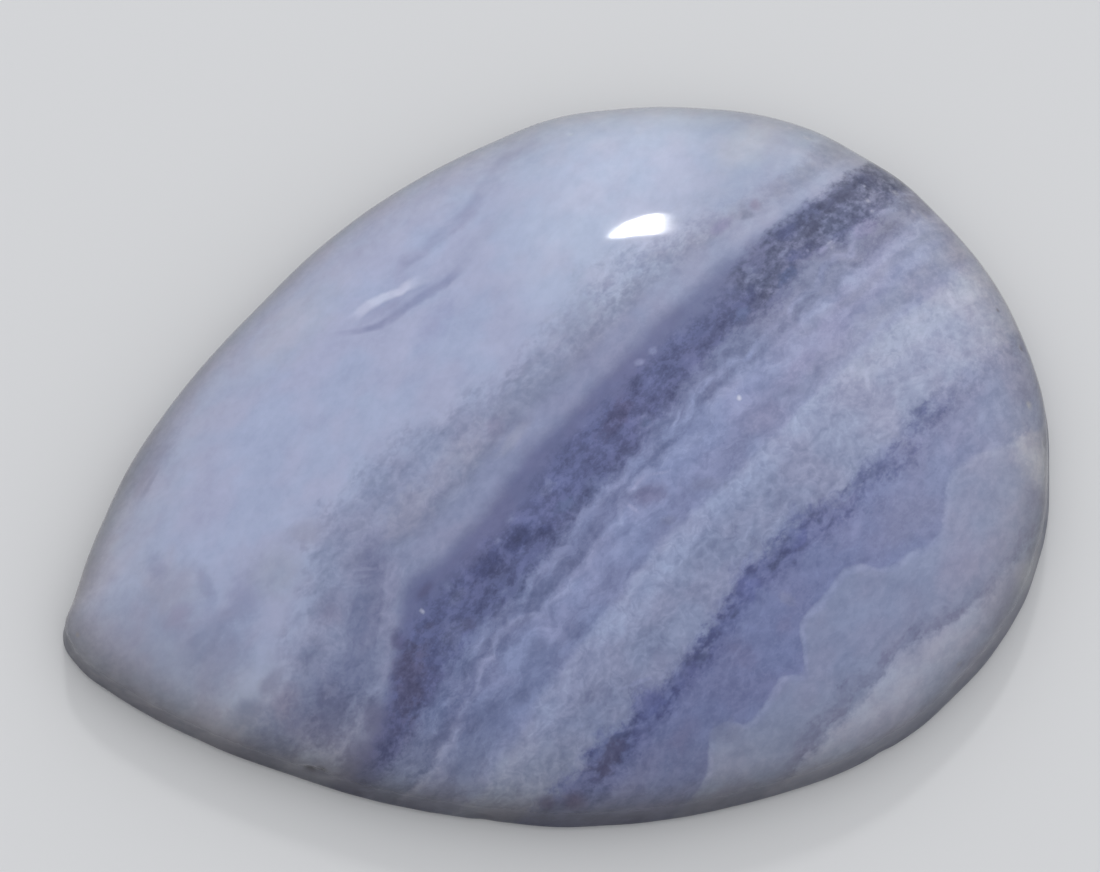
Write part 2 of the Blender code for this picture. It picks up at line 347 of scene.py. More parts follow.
    dict(name="second_dark", left=(106, 114, 156), right=(138, 143, 171), soft=0.9, ragged=0.75,
         texture=(0.55, 0.1, 0.34), course=[(-18, 9), (-9, 8.8), (-8, 9), (-7, 9), (-6.5, 9.3), (-6, 9.4),
         (-5.5, 9.05), (-5, 9.1), (-4.5, 9.4), (-4, 9.5), (-3, 9.5), (-2.5, 9.7), (-2, 9.7), (-1, 9.5),
         (0, 9.3), (0.5, 9), (1, 9), (1.5, 9.3), (2, 9.3), (3, 9.4), (4, 9.3), (5, 9.7), (5.5, 10),
         (6, 10.1), (7, 10), (8, 10.2), (9, 10.2), (9.5, 10), (10, 10), (11, 10.2), (13, 10.3), (19, 10.4)]),
    dict(name="second_dark_core", left=(70, 76, 120), right=(108, 114, 150), width=0.2, soft=0.42,
         ragged=0.55, strength=0.9, patchy=0.45, beady=0.9, fade=(-9, 12), course=[(-18, 9.2), (-8.5, 9.4),
         (-7.5, 9.6), (-6.8, 9.8), (-6, 9.7), (-5, 10.1), (-4, 9.9), (-3, 9.9), (-2.4, 10.05), (-1.5, 9.9),
         (-0.5, 9.9), (0.5, 9.6), (1.5, 9.7), (2.5, 9.75), (3.2, 9.9), (3.8, 10), (4.4, 10), (5, 10.2),
         (5.8, 10.45), (6.5, 10.4), (7.2, 10.6), (8, 10.8), (9, 10.8), (10, 10.6), (11, 10.4), (12, 10.5),
         (13, 10.7), (19, 11)]),
    dict(name="blue_violet", left=(115, 123, 162), right=(141, 147, 176), soft=0.7, ragged=0.3,
         texture=(0.3, 0.45, 0.2), course=[(-18, 10.4), (-8, 10.4), (-6, 10.55), (-5, 10.45), (-4, 10.45),
         (-3, 10.5), (-2, 10.4), (0, 10.3), (2, 10.35), (4, 10.6), (6, 11.1), (8, 11.2), (10, 11.1),
         (12, 11), (19, 11.1)]),
    dict(name="outer_lilac", left=(134, 142, 172), right=(145, 150, 176), soft=0.5, ragged=0.1,
         texture=(0.08, 0.3, 0.14), course=[(-18, 13), (-5.5, 12.9), (-4.6, 12.3), (-4, 12.15), (-3.5, 12.4),
         (-3.2, 12.9), (-2.5, 13.05), (-2, 13.05), (-1.5, 12.95), (-1, 12.9), (-0.5, 13.15), (-0.2, 13.3),
         (0, 13.1), (0.3, 12.8), (0.7, 12.4), (1, 12.15), (1.3, 12.05), (1.7, 12.15), (2.1, 12.2),
         (2.5, 12.1), (3, 12.05), (3.5, 12.1), (4, 12.3), (4.4, 12.55), (4.7, 13), (5, 13.25), (5.5, 13.4),
         (6, 13.5), (6.5, 13.7), (7, 13.8), (7.5, 13.75), (8, 13.5), (8.5, 13.2), (9, 12.9), (9.5, 12.65),
         (10, 12.6), (10.5, 12.7), (11, 12.8), (11.5, 13.1), (13, 13.6), (19, 14)]),
    dict(name="thin_pale_line", left=(143, 151, 183), right=(156, 161, 185), width=0.03, soft=0.2,
         ragged=0.1, strength=0.75, patchy=0.7, along="outer_lilac"),
    dict(name="serrated_dark", left=(110, 112, 143), right=(120, 122, 150), width=0.1, soft=0.3, ragged=0.55,
         strength=0.8, patchy=0.4, beady=0.6, fade=(-3, 11), course=[(-18, 15), (-3, 14.95), (-1, 14.95),
         (0, 15), (1, 15.1), (1.3, 15.3), (2, 15.25), (2.5, 15.15), (3, 15.2), (3.5, 15.3), (4, 15.4),
         (4.5, 15.55), (5, 15.85), (5.5, 16), (6, 16.05), (7, 16.3), (8, 16.35), (9, 16.2), (10, 16.2),
         (19, 16.2)]),
    dict(name="whitish_rim", left=(158, 164, 190), right=(150, 156, 181), soft=0.5, ragged=0.4,
         texture=(0.05, 0.15, 0.12), course=[(-18, 15.4), (-1, 15.4), (1, 15.6), (3, 15.55), (5, 16.05),
         (7, 16.35), (9, 16.3), (19, 16.3)]),
]
END_FADE = 0.8

# Clouds, clumps and strokes over the layers, and two painted highlights near the rim. Each group has a
# colour,
# a strength and its ovals: place u and v and half-axes in mm, and turn in degrees
MARKS = [
    # A large paler patch round the highlight, towards the far rim
    ("bright_cloud", (182, 190, 212), 0.9, [(10, -5.2, 7.5, 4.2, -12)]),
    ("upper_rim_lilac", (173, 178, 198), 0.6, [(-2.4, -10.9, 3.2, 1.5)]),
    ("upper_left_grey", (140, 145, 171), 0.6, [(-10, -11.9, 2, 0.9, -10), (-10.5, -11.3, 1.2, 0.2, -14)]),
    ("tip_grey", (144, 151, 181), 0.58, [
        (-15.6, -6.2, 3.2, 4.2), (-12, -4.9, 1.2, 0.9), (-12.6, -6.6, 1.3, 0.4, -65)]),
    ("tip_beige", (158, 162, 181), 0.5, [(-13.4, -7.6, 1.6, 1.8)]),
    ("tip_pink", (152, 153, 181), 0.6, [(-14.2, -6.6, 0.9, 0.5, 20)]),
    ("tip_blue", (134, 142, 172), 0.5, [
        (-14.2, -4.3, 2, 1.1, 8), (-13.2, -8.6, 0.9, 0.5, -60), (-14.2, -4.95, 1.6, 0.3, 8),
        (-14.4, -5.5, 0.7, 0.25, 30)]),
    ("tip_cream", (158, 166, 186), 0.6, [(-10.6, -4.6, 1.3, 1.2)]),
    ("pale_scraps", (171, 180, 205), 0.5, [(-3.27, -6.48, 0.45, 0.32), (-1.4, -6.25, 0.4, 0.09, -25)]),
    ("under_lens", (155, 163, 194), 0.6, [(0.8, -6.4, 1.8, 0.7, -10)]),
    ("left_curls", (115, 122, 151), 0.5, [
        (-15.1, -2.2, 0.9, 0.6, 30), (-13.8, -2.2, 0.8, 0.5), (-12.1, -1.5, 0.9, 0.6, 10),
        (-8.4, -2.6, 0.7, 0.4, 30), (2.6, 6, 0.9, 0.35, 38), (0.5, 5.75, 0.4, 0.25, 45)]),
    ("rose_patches", (130, 130, 158), 0.5, [
        (-13.9, -1.3, 0.9, 0.6), (-10.1, -2, 0.9, 0.8), (-0.95, -1.8, 0.6, 0.45)]),
    ("pale_curls", (143, 150, 178), 0.45, [
        (-11.4, -1.2, 0.35, 0.12, 40), (-12.4, -1.9, 0.3, 0.12, 60), (-11, -0.9, 0.35, 0.1, -20),
        (-8.75, -1.95, 0.55, 0.11, 48), (-8.4, -2, 0.5, 0.09, 48), (-9.2, -2.5, 0.45, 0.1, 48)]),
    ("cream_patches", (151, 155, 177), 0.6, [
        (-8.8, -4.8, 0.9, 0.6, 35), (-5.4, -2.2, 1.6, 0.8), (-2.6, -1.8, 0.75, 0.7), (-1, -0.9, 1.2, 0.3),
        (8.5, -1.6, 0.9, 0.35, 30)]),
    ("left_dark", (99, 103, 135), 0.7, [
        (-13.2, 0.5, 1.3, 1.1), (-12.2, 1.6, 1, 0.6, -30), (-13.7, 2, 1, 0.7, -20)]),
    ("purple_brown", (86, 86, 117), 0.75, [(-10.4, 2, 2, 0.8, -34), (-7.4, 9.55, 1, 0.5)]),
    ("brown_cores", (74, 75, 105), 0.6, [
        (-9.8, 1.4, 0.7, 0.35, -36), (-10.6, 2.3, 0.6, 0.3, -30), (-8.4, 1.4, 0.28, 0.24),
        (-7.5, 2.45, 0.36, 0.34)]),
    ("navy_cores", (62, 69, 109), 0.8, [
        (-5.4, 1.6, 1.1, 0.5, 8), (-3.9, 1.85, 1.1, 0.42, 6), (-2.8, 2.35, 0.5, 0.35)]),
    ("navy_halos", (81, 87, 124), 0.7, [
        (12.8, 1.4, 0.7, 0.4), (12.3, 2.4, 0.8, 0.3), (-5.4, 2.3, 1, 0.35), (0.1, 1.45, 1, 0.6, 15),
        (-0.6, 2.5, 0.4, 0.25), (1.6, 2.65, 0.7, 0.25), (4, 1.3, 0.5, 0.22), (4.9, 1.65, 0.3, 0.25),
        (6.8, 1.75, 0.8, 0.3), (9.4, 2.15, 0.9, 0.35)]),
    ("maroon", (88, 87, 123), 0.72, [
        (2.2, 1.55, 1.1, 0.5), (-9.6, 0.6, 0.5, 0.35, -50), (-7.6, 0.35, 0.6, 0.25)]),
    ("navy_gaps", (113, 120, 156), 0.7, [
        (-3.4, 1.1, 0.28, 0.2), (-4.3, 1.25, 0.22, 0.15), (-1.5, 1.35, 0.5, 0.3), (-6.9, 0.85, 0.22, 0.3),
        (2.9, 2.55, 0.55, 0.45)]),
    ("teal", (89, 101, 137), 0.7, [
        (-1.7, 2.35, 0.6, 0.3), (8.7, 2.5, 0.5, 0.35), (2.9, 2.55, 0.26, 0.2), (11.3, 2.7, 0.6, 0.3)]),
    ("navy_pearls", (134, 140, 175), 0.8, [(4.6, 0.8, 0.25, 0.18), (5.3, 0.82, 0.22, 0.18)]),
    ("slate_patches", (99, 105, 138), 0.58, [
        (-8.2, 2.2, 0.9, 0.5, -20), (-7, 1.4, 0.5, 0.3), (7.1, 3.05, 0.35, 0.2), (10.8, 1.5, 0.7, 0.4),
        (10.7, 3.25, 0.5, 0.2)]),
    ("far_black", (78, 81, 106), 0.55, [(13.6, 1.9, 0.9, 0.5), (15.6, 1.85, 1.5, 0.45)]),
    ("far_lilac", (134, 134, 165), 0.7, [(15.1, 3.5, 0.9, 0.35), (11.2, -0.6, 0.6, 0.35)]),
    ("far_green", (119, 123, 145), 0.65, [(15.9, 4.05, 0.6, 0.22), (12.3, -0.25, 0.35, 0.3)]),
    ("rust_dot", (139, 131, 154), 0.6, [(12.9, -0.3, 0.3, 0.25)]),
    ("lace_dark", (104, 112, 147), 0.7, [
        (-7.7, 3.5, 0.5, 0.25), (-8.6, 3.5, 0.5, 0.25), (-6.2, 3.95, 0.7, 0.2, 20), (-3.2, 4, 0.4, 0.2),
        (-8.1, 5.7, 0.7, 0.35), (-6.5, 5, 0.7, 0.35), (-5, 5.8, 0.6, 0.3), (-9.5, 5.3, 1.2, 1)]),
    ("lace_pale", (142, 150, 185), 0.7, [
        (-4.1, 4.2, 0.5, 0.2), (3.75, 3.35, 0.7, 0.1, -16), (7.6, 3.75, 0.4, 0.16), (5.5, 3.35, 0.6, 0.12),
        (-1, 4.95, 0.9, 0.5), (6, 4.6, 1.6, 0.5), (-4.9, 8.8, 0.8, 0.1, 38)]),
    ("island", (115, 118, 152), 0.9, [(0.8, 4.55, 0.85, 0.5, 32)]),
    ("island_rim", (146, 152, 185), 0.8, [
        (-0.05, 4.35, 0.1, 0.4), (0.7, 3.92, 0.6, 0.09), (1.7, 4.3, 0.5, 0.09, 38)]),
    ("lilac_patches", (146, 149, 180), 0.65, [
        (6.3, 5.9, 1.2, 0.7, 20), (8.4, 5.5, 1.6, 0.5), (10.8, 5.6, 1.4, 0.8, -25), (14.3, 1.15, 0.22, 0.25),
        (13.4, 2.95, 0.6, 0.12)]),
    ("ink_drops", (78, 86, 124), 0.85, [
        (-6.6, 9.5, 0.4, 0.2, 35), (-2.5, 10, 0.36, 0.22), (-0.5, 9.95, 0.32, 0.1), (2, 9.9, 0.5, 0.18),
        (4.4, 10, 0.24, 0.18)]),
    ("blue_blooms", (95, 102, 150), 0.75, [
        (-5, 9.7, 0.5, 0.5), (0.6, 9.75, 0.6, 0.5, -20), (3.4, 9.95, 0.45, 0.22)]),
    ("outer_violet", (112, 115, 152), 0.65, [
        (6, 10.4, 0.6, 0.25), (-1.4, 11.2, 0.6, 0.7), (0.45, 11.6, 0.55, 0.4, -30), (-5, 11.3, 1, 0.5)]),
    ("outer_knots", (123, 129, 160), 0.6, [
        (-6, 8.15, 0.7, 0.45), (-3.5, 8.75, 0.6, 0.4), (1.3, 11, 0.3, 0.4), (-3.9, 12.35, 0.6, 0.5),
        (7.3, 12.5, 2.2, 1)]),
    # Two painted highlights, near the upper right rim and near the lower right rim
    ("upper_rim_painted_sheen", (177, 182, 197), 0.85, [(14.8, -2.4, 1.9, 1.1)]),
    ("lower_right_painted_sheen", (192, 196, 212), 0.65, [(13, 14.7, 1.3, 1.6), (9.4, 17.3, 1.4, 0.8)]),
    ("pink_lilac", (142, 145, 173), 0.6, [(7.2, 15, 1.6, 0.9)]),
]
MARK_RAG = 0.45
MARK_GRIT = 0.5
MARK_EDGE = (0.25, 1.15)

# Small bright or dark inclusions and filled pits: place (x, y, z) and radius in mm, and colour
INCLUSIONS = [
    ((7.61, -0.56, 6.84), 0.17, (205, 208, 222)),
    ((-6.46, -5.16, 5.77), 0.16, (186, 188, 206)),
    ((4.65, 12.87, 3.8), 0.22, (186, 194, 214)),
    ((7.32, 12.09, 4.06), 0.2, (182, 190, 212)),
    ((13.24, 10.97, 2.93), 0.22, (176, 182, 204)),
    ((13.79, 10.35, 3.1), 0.28, (184, 188, 208)),
    ((15.36, 9.62, 2.36), 0.3, (160, 164, 186)),
    ((16.46, 7.1, 3.26), 0.24, (158, 162, 184)),
    ((16.85, 6.11, 3.36), 0.2, (160, 163, 184)),
    ((17.32, 5.93, 3.02), 0.22, (158, 161, 182)),
    ((15.14, 6.75, 4.24), 0.18, (166, 170, 190)),
    ((15.13, 6.21, 4.4), 0.16, (160, 164, 186)),
    ((15.25, 7.47, 3.89), 0.14, (156, 160, 182)),
    ((13.04, 4.91, 5.52), 0.34, (154, 157, 178)),
    ((18.62, 2.12, 3.11), 0.28, (176, 180, 202)),
    ((18.93, 1.35, 2.92), 0.16, (110, 106, 122)),
    ((19.44, -0.29, 2.5), 0.22, (96, 92, 106)),
    ((18.97, -2.76, 2.91), 0.3, (172, 174, 184)),
    ((19.17, -4.28, 2.13), 0.22, (154, 158, 178)),
    ((13.27, -12.01, 2.35), 0.24, (156, 159, 178)),
    ((-12.1, -8.91, 1.6), 0.42, (58, 58, 62)),
    ((-11.65, -9.07, 1.85), 0.34, (62, 62, 66)),
    ((-19.38, -1.39, 2.36), 0.2, (176, 176, 184)),
    ((-2.63, -13.12, 2.4), 0.85, (88, 78, 108)),
    ((-3.6, -12.85, 2.3), 0.7, (90, 82, 112)),
]
INCLUSION_STRENGTH = 0.65
INCLUSION_EDGE = (0.1, 0.9)

# How wide the waves, granules, clumps, patches and so on are, in mm
WAVE_SIZE = 1.3
FINE_SIZE = 0.26
CLUMP_SIZE = 0.62
PATCH_SIZE = 1.6
GAP_SIZE = 0.9
BEAD_SIZE = 0.32
SCALLOP_SIZE = 1.25
RING_SIZE = 0.42
SWIRL_SIZE = 0.9
SHEET_SIZE = 0.52
FROTH_SIZE = 0.50
CLOUD_SIZE = 1.05

# How far the layers sway, lean at the back, and bulge with the scallops, in mm. The grain is long along them
WAVE_SWAY = 0.16
LEAN = 0.8
LEAN_TOP = 3.0
BULGE = 0.12
GRAIN_SQUEEZE = 0.75

# The grain and the tones get calmer and paler from the lower left to the upper right, between these places u
LEFT_END = 1.0
RIGHT_END = 15.0
CALMED = 0.35

# Rings of pits and swirls, lace of pale lines in wavy sheets, and froth of grains
PIT_DEPTH = 0.10
PIT_WALL = 0.08
SWIRL_TURNS = 44.0
SWIRL_DEPTH = 0.085
PALE_LINE = 0.12
SHEET_DEPTH = 0.40
FROTH_DEPTH = 1.5
FROTH_GRAIN = 0.18
CLOUD_DEPTH = 2.2
FINE_DEPTH = 0.055
GROUND_DEPTH = 0.45

# Where the stone is darker it is also bluer, and its hue drifts a little
SHADE_TONES = (1.12, 1.05, 0.80)
DARKEST_SHADE = -0.7
WARM_HUE = (1.022, 0.992, 0.992, 1.0)
COOL_HUE = (0.975, 1.003, 1.012, 1.0)
BLUE_LIFT = (1.02, 1.018, 1.026)

# The skin towards the girdle is greyer and darker, and painted shade is mixed into it: it darkens most on the
# side away from the light, which also gets a painted highlight on its shoulder where the factors go over 1.
# For each height in mm, what it leaves of the stone's colour, on the side towards the light, at the round end
# and on the side away from the light. A side is a direction, and starts and is whole at these distances from
# the middle, in mm
SKIN_AND_SHADE_LIT = [
    (0.0, (0.44, 0.42, 0.38)), (2.0, (0.42, 0.40, 0.36)), (2.6, (0.61, 0.58, 0.52)),
    (3.1, (0.85, 0.80, 0.73)), (3.6, (0.97, 0.93, 0.88)), (4.3, (1.0, 0.985, 0.96)),
    (5.0, (1.0, 1.0, 1.0)),
]
SKIN_AND_SHADE_RIGHT = [
    (0.0, (0.42, 0.40, 0.36)), (2.0, (0.42, 0.40, 0.35)), (2.5, (0.72, 0.69, 0.61)),
    (3.1, (0.90, 0.86, 0.77)), (3.6, (0.99, 0.96, 0.89)), (4.2, (1.0, 0.99, 0.96)),
    (5.0, (1.0, 1.0, 1.0)),
]
# On the side away from the light: painted shade, and a painted highlight on the shoulder where the factors go
# over 1
SKIN_SHADE_AND_SHEEN_AWAY = [
    (0.0, (0.28, 0.265, 0.25)), (1.1, (0.32, 0.30, 0.28)), (1.8, (0.44, 0.415, 0.385)),
    (2.4, (0.72, 0.70, 0.64)), (3.0, (1.06, 1.01, 0.90)), (3.6, (1.08, 1.04, 0.95)),
    (4.6, (1.0, 1.0, 1.0)),
]
RIGHT_SIDE = (0.80, 0.60, 0.0)
RIGHT_SIDE_SPAN = (4.0, 13.0)
# The side away from the light, which is painted darker
SHADED_SIDE = (-0.36, -0.93, 0.0)
SHADED_SIDE_SPAN = (-2.0, 12.0)
STAIN = (1.05, 1.0, 0.90)
STAINED_SIDE = (-0.70, -0.72, 0.0)
STAINED_SIDE_SPAN = (3.0, 11.0)
BACK_TONE = (0.72, 0.72, 0.70)

# How rough the ground wall and the polished dome are, and how light bends and how deep it goes, in mm
GROUND_ROUGHNESS = 0.42
POLISHED_ROUGHNESS = 0.06
CHALCEDONY_IOR = 1.54
DEPTH_OF_LIGHT = 0.4

# What the gloss of the polish adds to the stone's own colour under soft light
GLOSS_VEIL = (0.016, 0.015, 0.006)
DARKEST = 0.004


def linear(colour):
    """The linear colour of the stone itself, from the sRGB colour of the polished stone in soft light."""
    seen = []
    for part, veil in zip(colour, GLOSS_VEIL):
        share = part / 255
        value = share / 12.92 if share <= 0.04045 else ((share + 0.055) / 1.055) ** 2.4
        seen.append(max(DARKEST, value - veil))
    return (*seen, 1.0)


class Tree:
    """A short way to write a node tree: each call adds a node and returns its output."""

    def __init__(self, tree):
        self.tree = tree

    def node(self, kind, **settings):
        made = self.tree.nodes.new(kind)
        for name, value in settings.items():
            setattr(made, name, value)
        return made

    def feed(self, socket, value):
        if isinstance(value, bpy.types.NodeSocket):
            self.tree.links.new(value, socket)
        else:
            socket.default_value = value

    def fed(self, kind, *values, **settings):
        """A node whose first inputs have these values."""
        made = self.node(kind, **settings)
        for socket, value in zip(made.inputs, values):
            self.feed(socket, value)
        return made

    def math(self, operation, *values):
        return self.fed("ShaderNodeMath", *values, operation=operation).outputs[0]

    def add(self, a, b):
        return self.math("ADD", a, b)

    def times(self, a, b):
        return self.math("MULTIPLY", a, b)

    def minus(self, a, b):
        return self.math("SUBTRACT", a, b)

    def vector(self, operation, *values):
        return self.fed("ShaderNodeVectorMath", *values, operation=operation).outputs[0]

    def measure(self, operation, *vectors):
        """The number that a vector operation gives."""
        return self.fed("ShaderNodeVectorMath", *vectors, operation=operation).outputs["Value"]

    def dot(self, vector, axis):
        return self.measure("DOT_PRODUCT", vector, axis)

    def joined(self, x, y, z):
        return self.fed("ShaderNodeCombineXYZ", x, y, z).outputs[0]

    def parts(self, vector):
        return self.fed("ShaderNodeSeparateXYZ", vector).outputs

    def noise(self, vector, size, detail=2.0, roughness=0.5):
        """Noise whose features are this many mm across, from about 0 to 1."""
        made = self.fed("ShaderNodeTexNoise", vector)
        made.inputs["Scale"].default_value = 1 / size
        made.inputs["Detail"].default_value = detail
        made.inputs["Roughness"].default_value = roughness
        return made.outputs["Fac"]

    def cells(self, vector, size):
        """Distance from the nearest seed, in cell sizes: from 0 to about 0.9."""
        made = self.fed("ShaderNodeTexVoronoi", vector)
        made.inputs["Scale"].default_value = 1 / size
        return made.outputs["Distance"]

    def oval(self, plan, u, v, a, b, turn=0):
        """How far out of an oval a point (u, v, 1) is: 0 at the oval's centre and 1 on its rim."""
        if turn:
            c, s = cos(radians(turn)), sin(radians(turn))
            along = self.dot(plan, (c / a, s / a, -(u * c + v * s) / a))
            across = self.dot(plan, (-s / b, c / b, (u * s - v * c) / b))
            inside = self.joined(along, across, 0.0)
        else:
            inside = self.vector("MULTIPLY_ADD", plan, (1 / a, 1 / b, 0.0), (-u / a, -v / b, 0.0))
        return self.measure("LENGTH", inside)

    def ramp(self, value, stops, top):
        """The colours at their stops, from 0 to the top, read at this value. A colour may be up to 2."""
        made = self.node("ShaderNodeValToRGB")
        elements = made.color_ramp.elements
        while len(elements) < len(stops):
            elements.new(0.5)
        for element, (place, colour) in zip(elements, stops):
            element.position = place / top
            element.color = (*(part / 2 for part in colour), 1.0)
        self.feed(made.inputs["Fac"], self.times(value, 1 / top))
        return self.vector("MULTIPLY", made.outputs["Color"], (2.0, 2.0, 2.0))

    def swing(self, value, amount):
        """The value, which is about 0 to 1, as a swing of this amount either side of zero."""
        return self.times(self.minus(value, 0.5), 2 * amount)

    def smooth(self, value, low, high, start=0.0, end=1.0):
        """A soft step: start where the value is low, and end where it is high."""
        made = self.node("ShaderNodeMapRange", interpolation_type="SMOOTHSTEP")
        given = {"Value": value, "From Min": low, "From Max": high, "To Min": start, "To Max": end}
        for name, number in given.items():
            self.feed(made.inputs[name], number)
        return made.outputs["Result"]

    def mix(self, factor, a, b):
        """Colour a where the factor is 0, and colour b where it is 1."""
        made = self.node("ShaderNodeMix", data_type="RGBA")
        self.feed(made.inputs[0], factor)
        self.feed(made.inputs[6], a)
        self.feed(made.inputs[7], b)
        return made.outputs[2]

    def course(self, share, points):
        """The curve v(u) through the points, as shares of the span, read at this share of the way along."""
        made = self.node("ShaderNodeFloatCurve")
        curve = made.mapping.curves[0]
        places = [((u + SPAN) / (2 * SPAN), (v + SPAN) / (2 * SPAN)) for u, v in points]
        while len(curve.points) < len(places):
            curve.points.new(0.5, 0.5)
        for point, place in zip(curve.points, places):
            point.location = place
            point.handle_type = "AUTO"
        made.mapping.update()
        self.feed(made.inputs["Value"], share)
        return made.outputs[0]


class Pattern:
    """What all parts of the stone's colour share: the place in the stone, its noises and its scallops."""

    def __init__(self, t):
        self.place = t.vector("MULTIPLY", t.node("ShaderNodeTexCoord").outputs["Object"], (1 / MM,) * 3)
        self.height = t.parts(self.place)[2]
        self.u = t.dot(self.place, ALONG)
        self.v = t.dot(self.place, ACROSS)
        self.add_noises(t)
        self.add_scallops(t)
        self.share = t.times(t.add(self.u, SPAN), 1 / (2 * SPAN))
        self.to_right = t.smooth(self.u, LEFT_END, RIGHT_END)

    def add_noises(self, t):
        """The layers are slightly wavy, and lean a little towards the back. Their noises go with them."""
        wave = t.swing(t.noise(self.place, WAVE_SIZE), WAVE_SWAY)
        lean = t.smooth(self.height, 0.0, LEAN_TOP, LEAN, 0.0)
        self.v = t.add(t.add(self.v, wave), lean)
        self.flat = t.joined(t.times(self.u, GRAIN_SQUEEZE), self.v, t.times(self.height, GRAIN_SQUEEZE))
        self.fine = t.noise(self.flat, FINE_SIZE, 3.0, 0.65)
        self.clumps = t.noise(self.flat, CLUMP_SIZE, 3.0, 0.62)
        self.broad = t.noise(self.flat, PATCH_SIZE)
        finer = t.times(self.fine, 0.35)
        coarser = t.add(t.times(self.clumps, 0.35), t.times(self.broad, 0.30))
        self.rag = t.add(finer, coarser)
        self.breaks = t.smooth(t.noise(self.flat, GAP_SIZE, 2.0, 0.6), 0.36, 0.62)
        self.beads = t.smooth(t.noise(self.flat, BEAD_SIZE, 2.0, 0.55), 0.36, 0.64)

    def add_scallops(self, t):
        """Each front of growth is a row of scallops, which the fronts above it repeat."""
        drawn_out = t.add(t.times(self.v, 0.30), t.swing(self.clumps, 0.5))
        seeds = t.cells(t.joined(self.u, drawn_out, t.times(self.height, 0.5)), SCALLOP_SIZE)
        self.scallops = t.minus(t.times(seeds, seeds), 0.22)
        self.u = t.add(self.u, t.times(self.scallops, BULGE))
        self.v = t.minus(self.v, t.times(self.scallops, BULGE))


def layer_mask(t, p, layer, distance):
    """How much of this layer shows, from its distance past the course, in shares of the span."""
    soft = layer["soft"] / (2 * SPAN)
    if "width" not in layer:
        return t.smooth(distance, -soft / 2, soft / 2)
    width = layer["width"] / (2 * SPAN)
    mask = t.smooth(t.math("ABSOLUTE", distance), width, width + soft, layer["strength"], 0.0)
    if "patchy" in layer:
        mask = t.times(mask, t.math("MULTIPLY_ADD", p.breaks, layer["patchy"], 1 - layer["patchy"]))
    if "beady" in layer:
        beady = layer["beady"]
        mask = t.times(mask, t.math("MULTIPLY_ADD", p.beads, -beady, 1 + min(beady, 0)))
    if "fade" in layer:
        start, end = layer["fade"]
        begun = t.smooth(p.u, start - END_FADE, start + END_FADE)
        lasting = t.smooth(p.u, end - END_FADE, end + END_FADE, 1.0, 0.0)
        mask = t.times(mask, t.times(begun, lasting))
    return mask


def layered(t, p):
    """The colour and the texture of the layers."""
    reach = t.times(t.add(p.v, SPAN), 1 / (2 * SPAN))
    unevenness = t.times(t.minus(p.rag, 0.5), 2 / SPAN)
    colour = t.mix(p.to_right, linear(BASE["left"]), linear(BASE["right"]))
    texture = (*BASE["texture"], 1.0)
    courses = {}
    for layer in LAYERS:
        if "along" in layer:
            course = courses[layer["along"]]
        else:
            course = courses[layer["name"]] = t.course(p.share, layer["course"])
        distance = t.minus(t.math("MULTIPLY_ADD", unevenness, layer["ragged"], reach), course)
        if "scallop" in layer:
            distance = t.math("MULTIPLY_ADD", p.scallops, -layer["scallop"] / (2 * SPAN), distance)
        mask = layer_mask(t, p, layer, distance)
        own = linear(layer["left"])
        if "right" in layer:
            own = t.mix(p.to_right, own, linear(layer["right"]))
        colour = t.mix(mask, colour, own)
        if "texture" in layer:
            texture = t.mix(mask, texture, (*layer["texture"], 1.0))
    return colour, texture


def marked(t, p, plan, colour, ring_share, froth_share):
    """The colour with the clouds, clumps and strokes, and the painted highlights, whose rims are ragged and
    gritty.
    """
    gritty = t.times(t.add(ring_share, froth_share), t.minus(p.beads, 0.5))
    ragged = t.math("MULTIPLY_ADD", gritty, MARK_GRIT, t.swing(p.rag, MARK_RAG))
    for _, tone, strength, ovals in MARKS:
        out = t.oval(plan, *ovals[0])
        for oval in ovals[1:]:
            out = t.math("MINIMUM", out, t.oval(plan, *oval))
        mask = t.smooth(t.add(out, ragged), *MARK_EDGE, strength, 0.0)
        colour = t.mix(mask, colour, linear(tone))
    return colour


def with_inclusions(t, p, colour):
    """The colour with the inclusions, which aren't quite round."""
    bumps = t.joined(t.times(p.scallops, 0.1), t.swing(p.fine, 0.12), t.swing(p.clumps, 0.12))
    bumpy = t.vector("ADD", p.place, bumps)
    inner, outer = INCLUSION_EDGE
    for centre, radius, speck in INCLUSIONS:
        away = t.measure("DISTANCE", bumpy, centre)
        mask = t.smooth(away, inner * radius, outer * radius, INCLUSION_STRENGTH, 0.0)
        colour = t.mix(mask, colour, linear(speck))
    return colour


def ring_pattern(t, p):
    """Small dark rounds with pale walls, over fine swirls."""
    bend = t.joined(t.swing(p.clumps, 0.35), t.swing(p.broad, 0.5), t.swing(p.fine, 0.12))
    bent = t.vector("ADD", p.flat, bend)
    pits = t.smooth(t.cells(bent, RING_SIZE), 0.15, 0.62, -PIT_DEPTH, PIT_WALL)
    swirls = t.noise(t.vector("MULTIPLY", bent, (1.25, 0.8, 1.0)), SWIRL_SIZE)
    return t.add(pits, t.times(t.math("SINE", t.times(swirls, SWIRL_TURNS)), SWIRL_DEPTH))


def lace_pattern(t, p):
    """Thin wavy sheets along the bands, with pale lines between them."""
    sway = t.add(t.swing(p.clumps, 0.45), t.minus(t.swing(p.broad, 0.7), t.times(p.scallops, 0.9)))
    winding = t.add(p.v, sway)
    sheets = t.noise(t.joined(t.times(p.u, 0.12), winding, t.times(p.height, 0.3)), SHEET_SIZE, 1.0)
    pale_lines = t.smooth(t.math("ABSOLUTE", t.minus(sheets, 0.54)), 0.0, 0.06, PALE_LINE, 0.0)
    return t.add(pale_lines, t.swing(sheets, SHEET_DEPTH))


